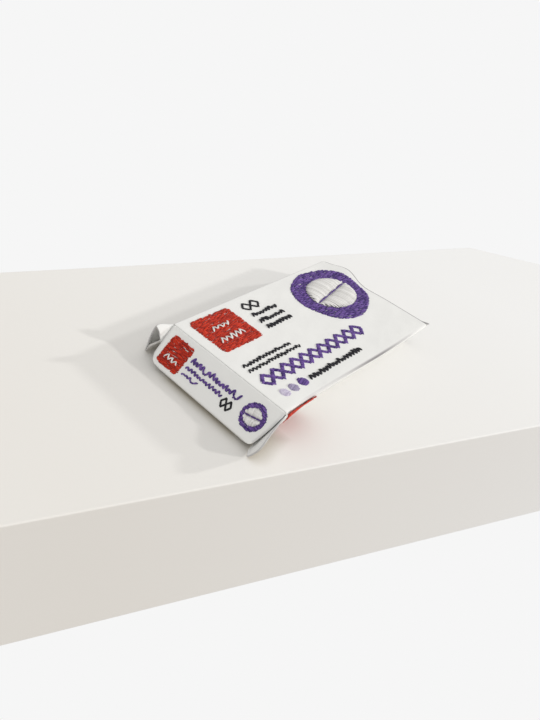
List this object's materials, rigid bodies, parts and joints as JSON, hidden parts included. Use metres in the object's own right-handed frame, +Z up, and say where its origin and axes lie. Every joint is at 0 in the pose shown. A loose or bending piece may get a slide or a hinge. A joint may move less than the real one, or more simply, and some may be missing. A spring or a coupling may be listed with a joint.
{
  "type": "tablet carton",
  "caption": "Small leaning cloth carton with stitched panels, an open tuck flap, blister strips of caplets and a folded leaflet.",
  "frame": {"origin": "centre of the bottom panel's outer face, on the surface it rests on", "axes": "+X along the carton from the open end to the closed end, +Y toward the back long side, +Z up"},
  "size_m": [0.1142, 0.0785, 0.0167],
  "materials": {
    "white_cloth": "matt woven",
    "white_thread": "satin stitched",
    "red_thread": "satin stitched",
    "purple_thread": "satin stitched",
    "black_thread": "matt",
    "pale_lilac_thread": "satin stitched",
    "grey_lilac_thread": "satin stitched",
    "caplet": "film coated, matt",
    "strip_film": "clear",
    "strip_foil": "rolled",
    "leaflet_paper": "matt paper"
  },
  "bodies": {
    "carton": {"carton": "white_cloth", "red_field": "red_thread", "red_field_white_row_1": "white_thread", "red_field_white_row_2": "white_thread", "purple_oval": "purple_thread", "padded_half_1": "white_thread", "padded_half_2": "white_thread", "black_row_top": "black_thread", "black_row_middle": "black_thread", "black_row_bottom": "black_thread", "fine_row_upper": "black_thread", "fine_row_lower": "black_thread", "black_row_front": "black_thread", "black_diamonds": "black_thread", "purple_chain": "purple_thread", "lilac_dot": "pale_lilac_thread", "grey_dot": "grey_lilac_thread", "purple_dot": "purple_thread", "side_red_field": "red_thread", "lower_strip_foil": "strip_foil", "lower_strip_film": "strip_film", "lower_strip_caplet_01": "caplet", "lower_strip_caplet_02": "caplet", "lower_strip_caplet_03": "caplet", "lower_strip_caplet_04": "caplet", "lower_strip_caplet_05": "caplet", "lower_strip_caplet_06": "caplet", "lower_strip_caplet_07": "caplet", "lower_strip_caplet_08": "caplet", "lower_strip_caplet_09": "caplet", "lower_strip_caplet_10": "caplet", "upper_strip_foil": "strip_foil", "upper_strip_film": "strip_film", "upper_strip_caplet_01": "caplet", "upper_strip_caplet_02": "caplet", "upper_strip_caplet_03": "caplet", "upper_strip_caplet_04": "caplet", "upper_strip_caplet_05": "caplet", "upper_strip_caplet_06": "caplet", "upper_strip_caplet_07": "caplet", "upper_strip_caplet_08": "caplet", "upper_strip_caplet_09": "caplet", "upper_strip_caplet_10": "caplet", "leaflet": "leaflet_paper"},
    "near_flap": {"near_end_flap": "white_cloth", "flap_red_field": "red_thread", "flap_white_row": "white_thread", "flap_purple_row_top": "purple_thread", "flap_purple_row_middle": "purple_thread", "flap_purple_row_bottom": "purple_thread", "flap_black_diamonds": "black_thread", "flap_purple_round": "purple_thread", "flap_padded_half_1": "white_thread", "flap_padded_half_2": "white_thread"},
    "far_flap": {"far_end_flap": "white_cloth"}
  },
  "joints": [
    {"name": "near_flap_hinge", "type": "hinge", "parent": "carton", "child": "near_flap", "pos_m": [-0.0489, 0, 0.01444], "axis": [0, 1, 0], "range_deg": [0, 120]},
    {"name": "far_flap_hinge", "type": "hinge", "parent": "carton", "child": "far_flap", "pos_m": [0.0489, 0, 0.01444], "axis": [0, -1, 0], "range_deg": [0, 170]}
  ]
}
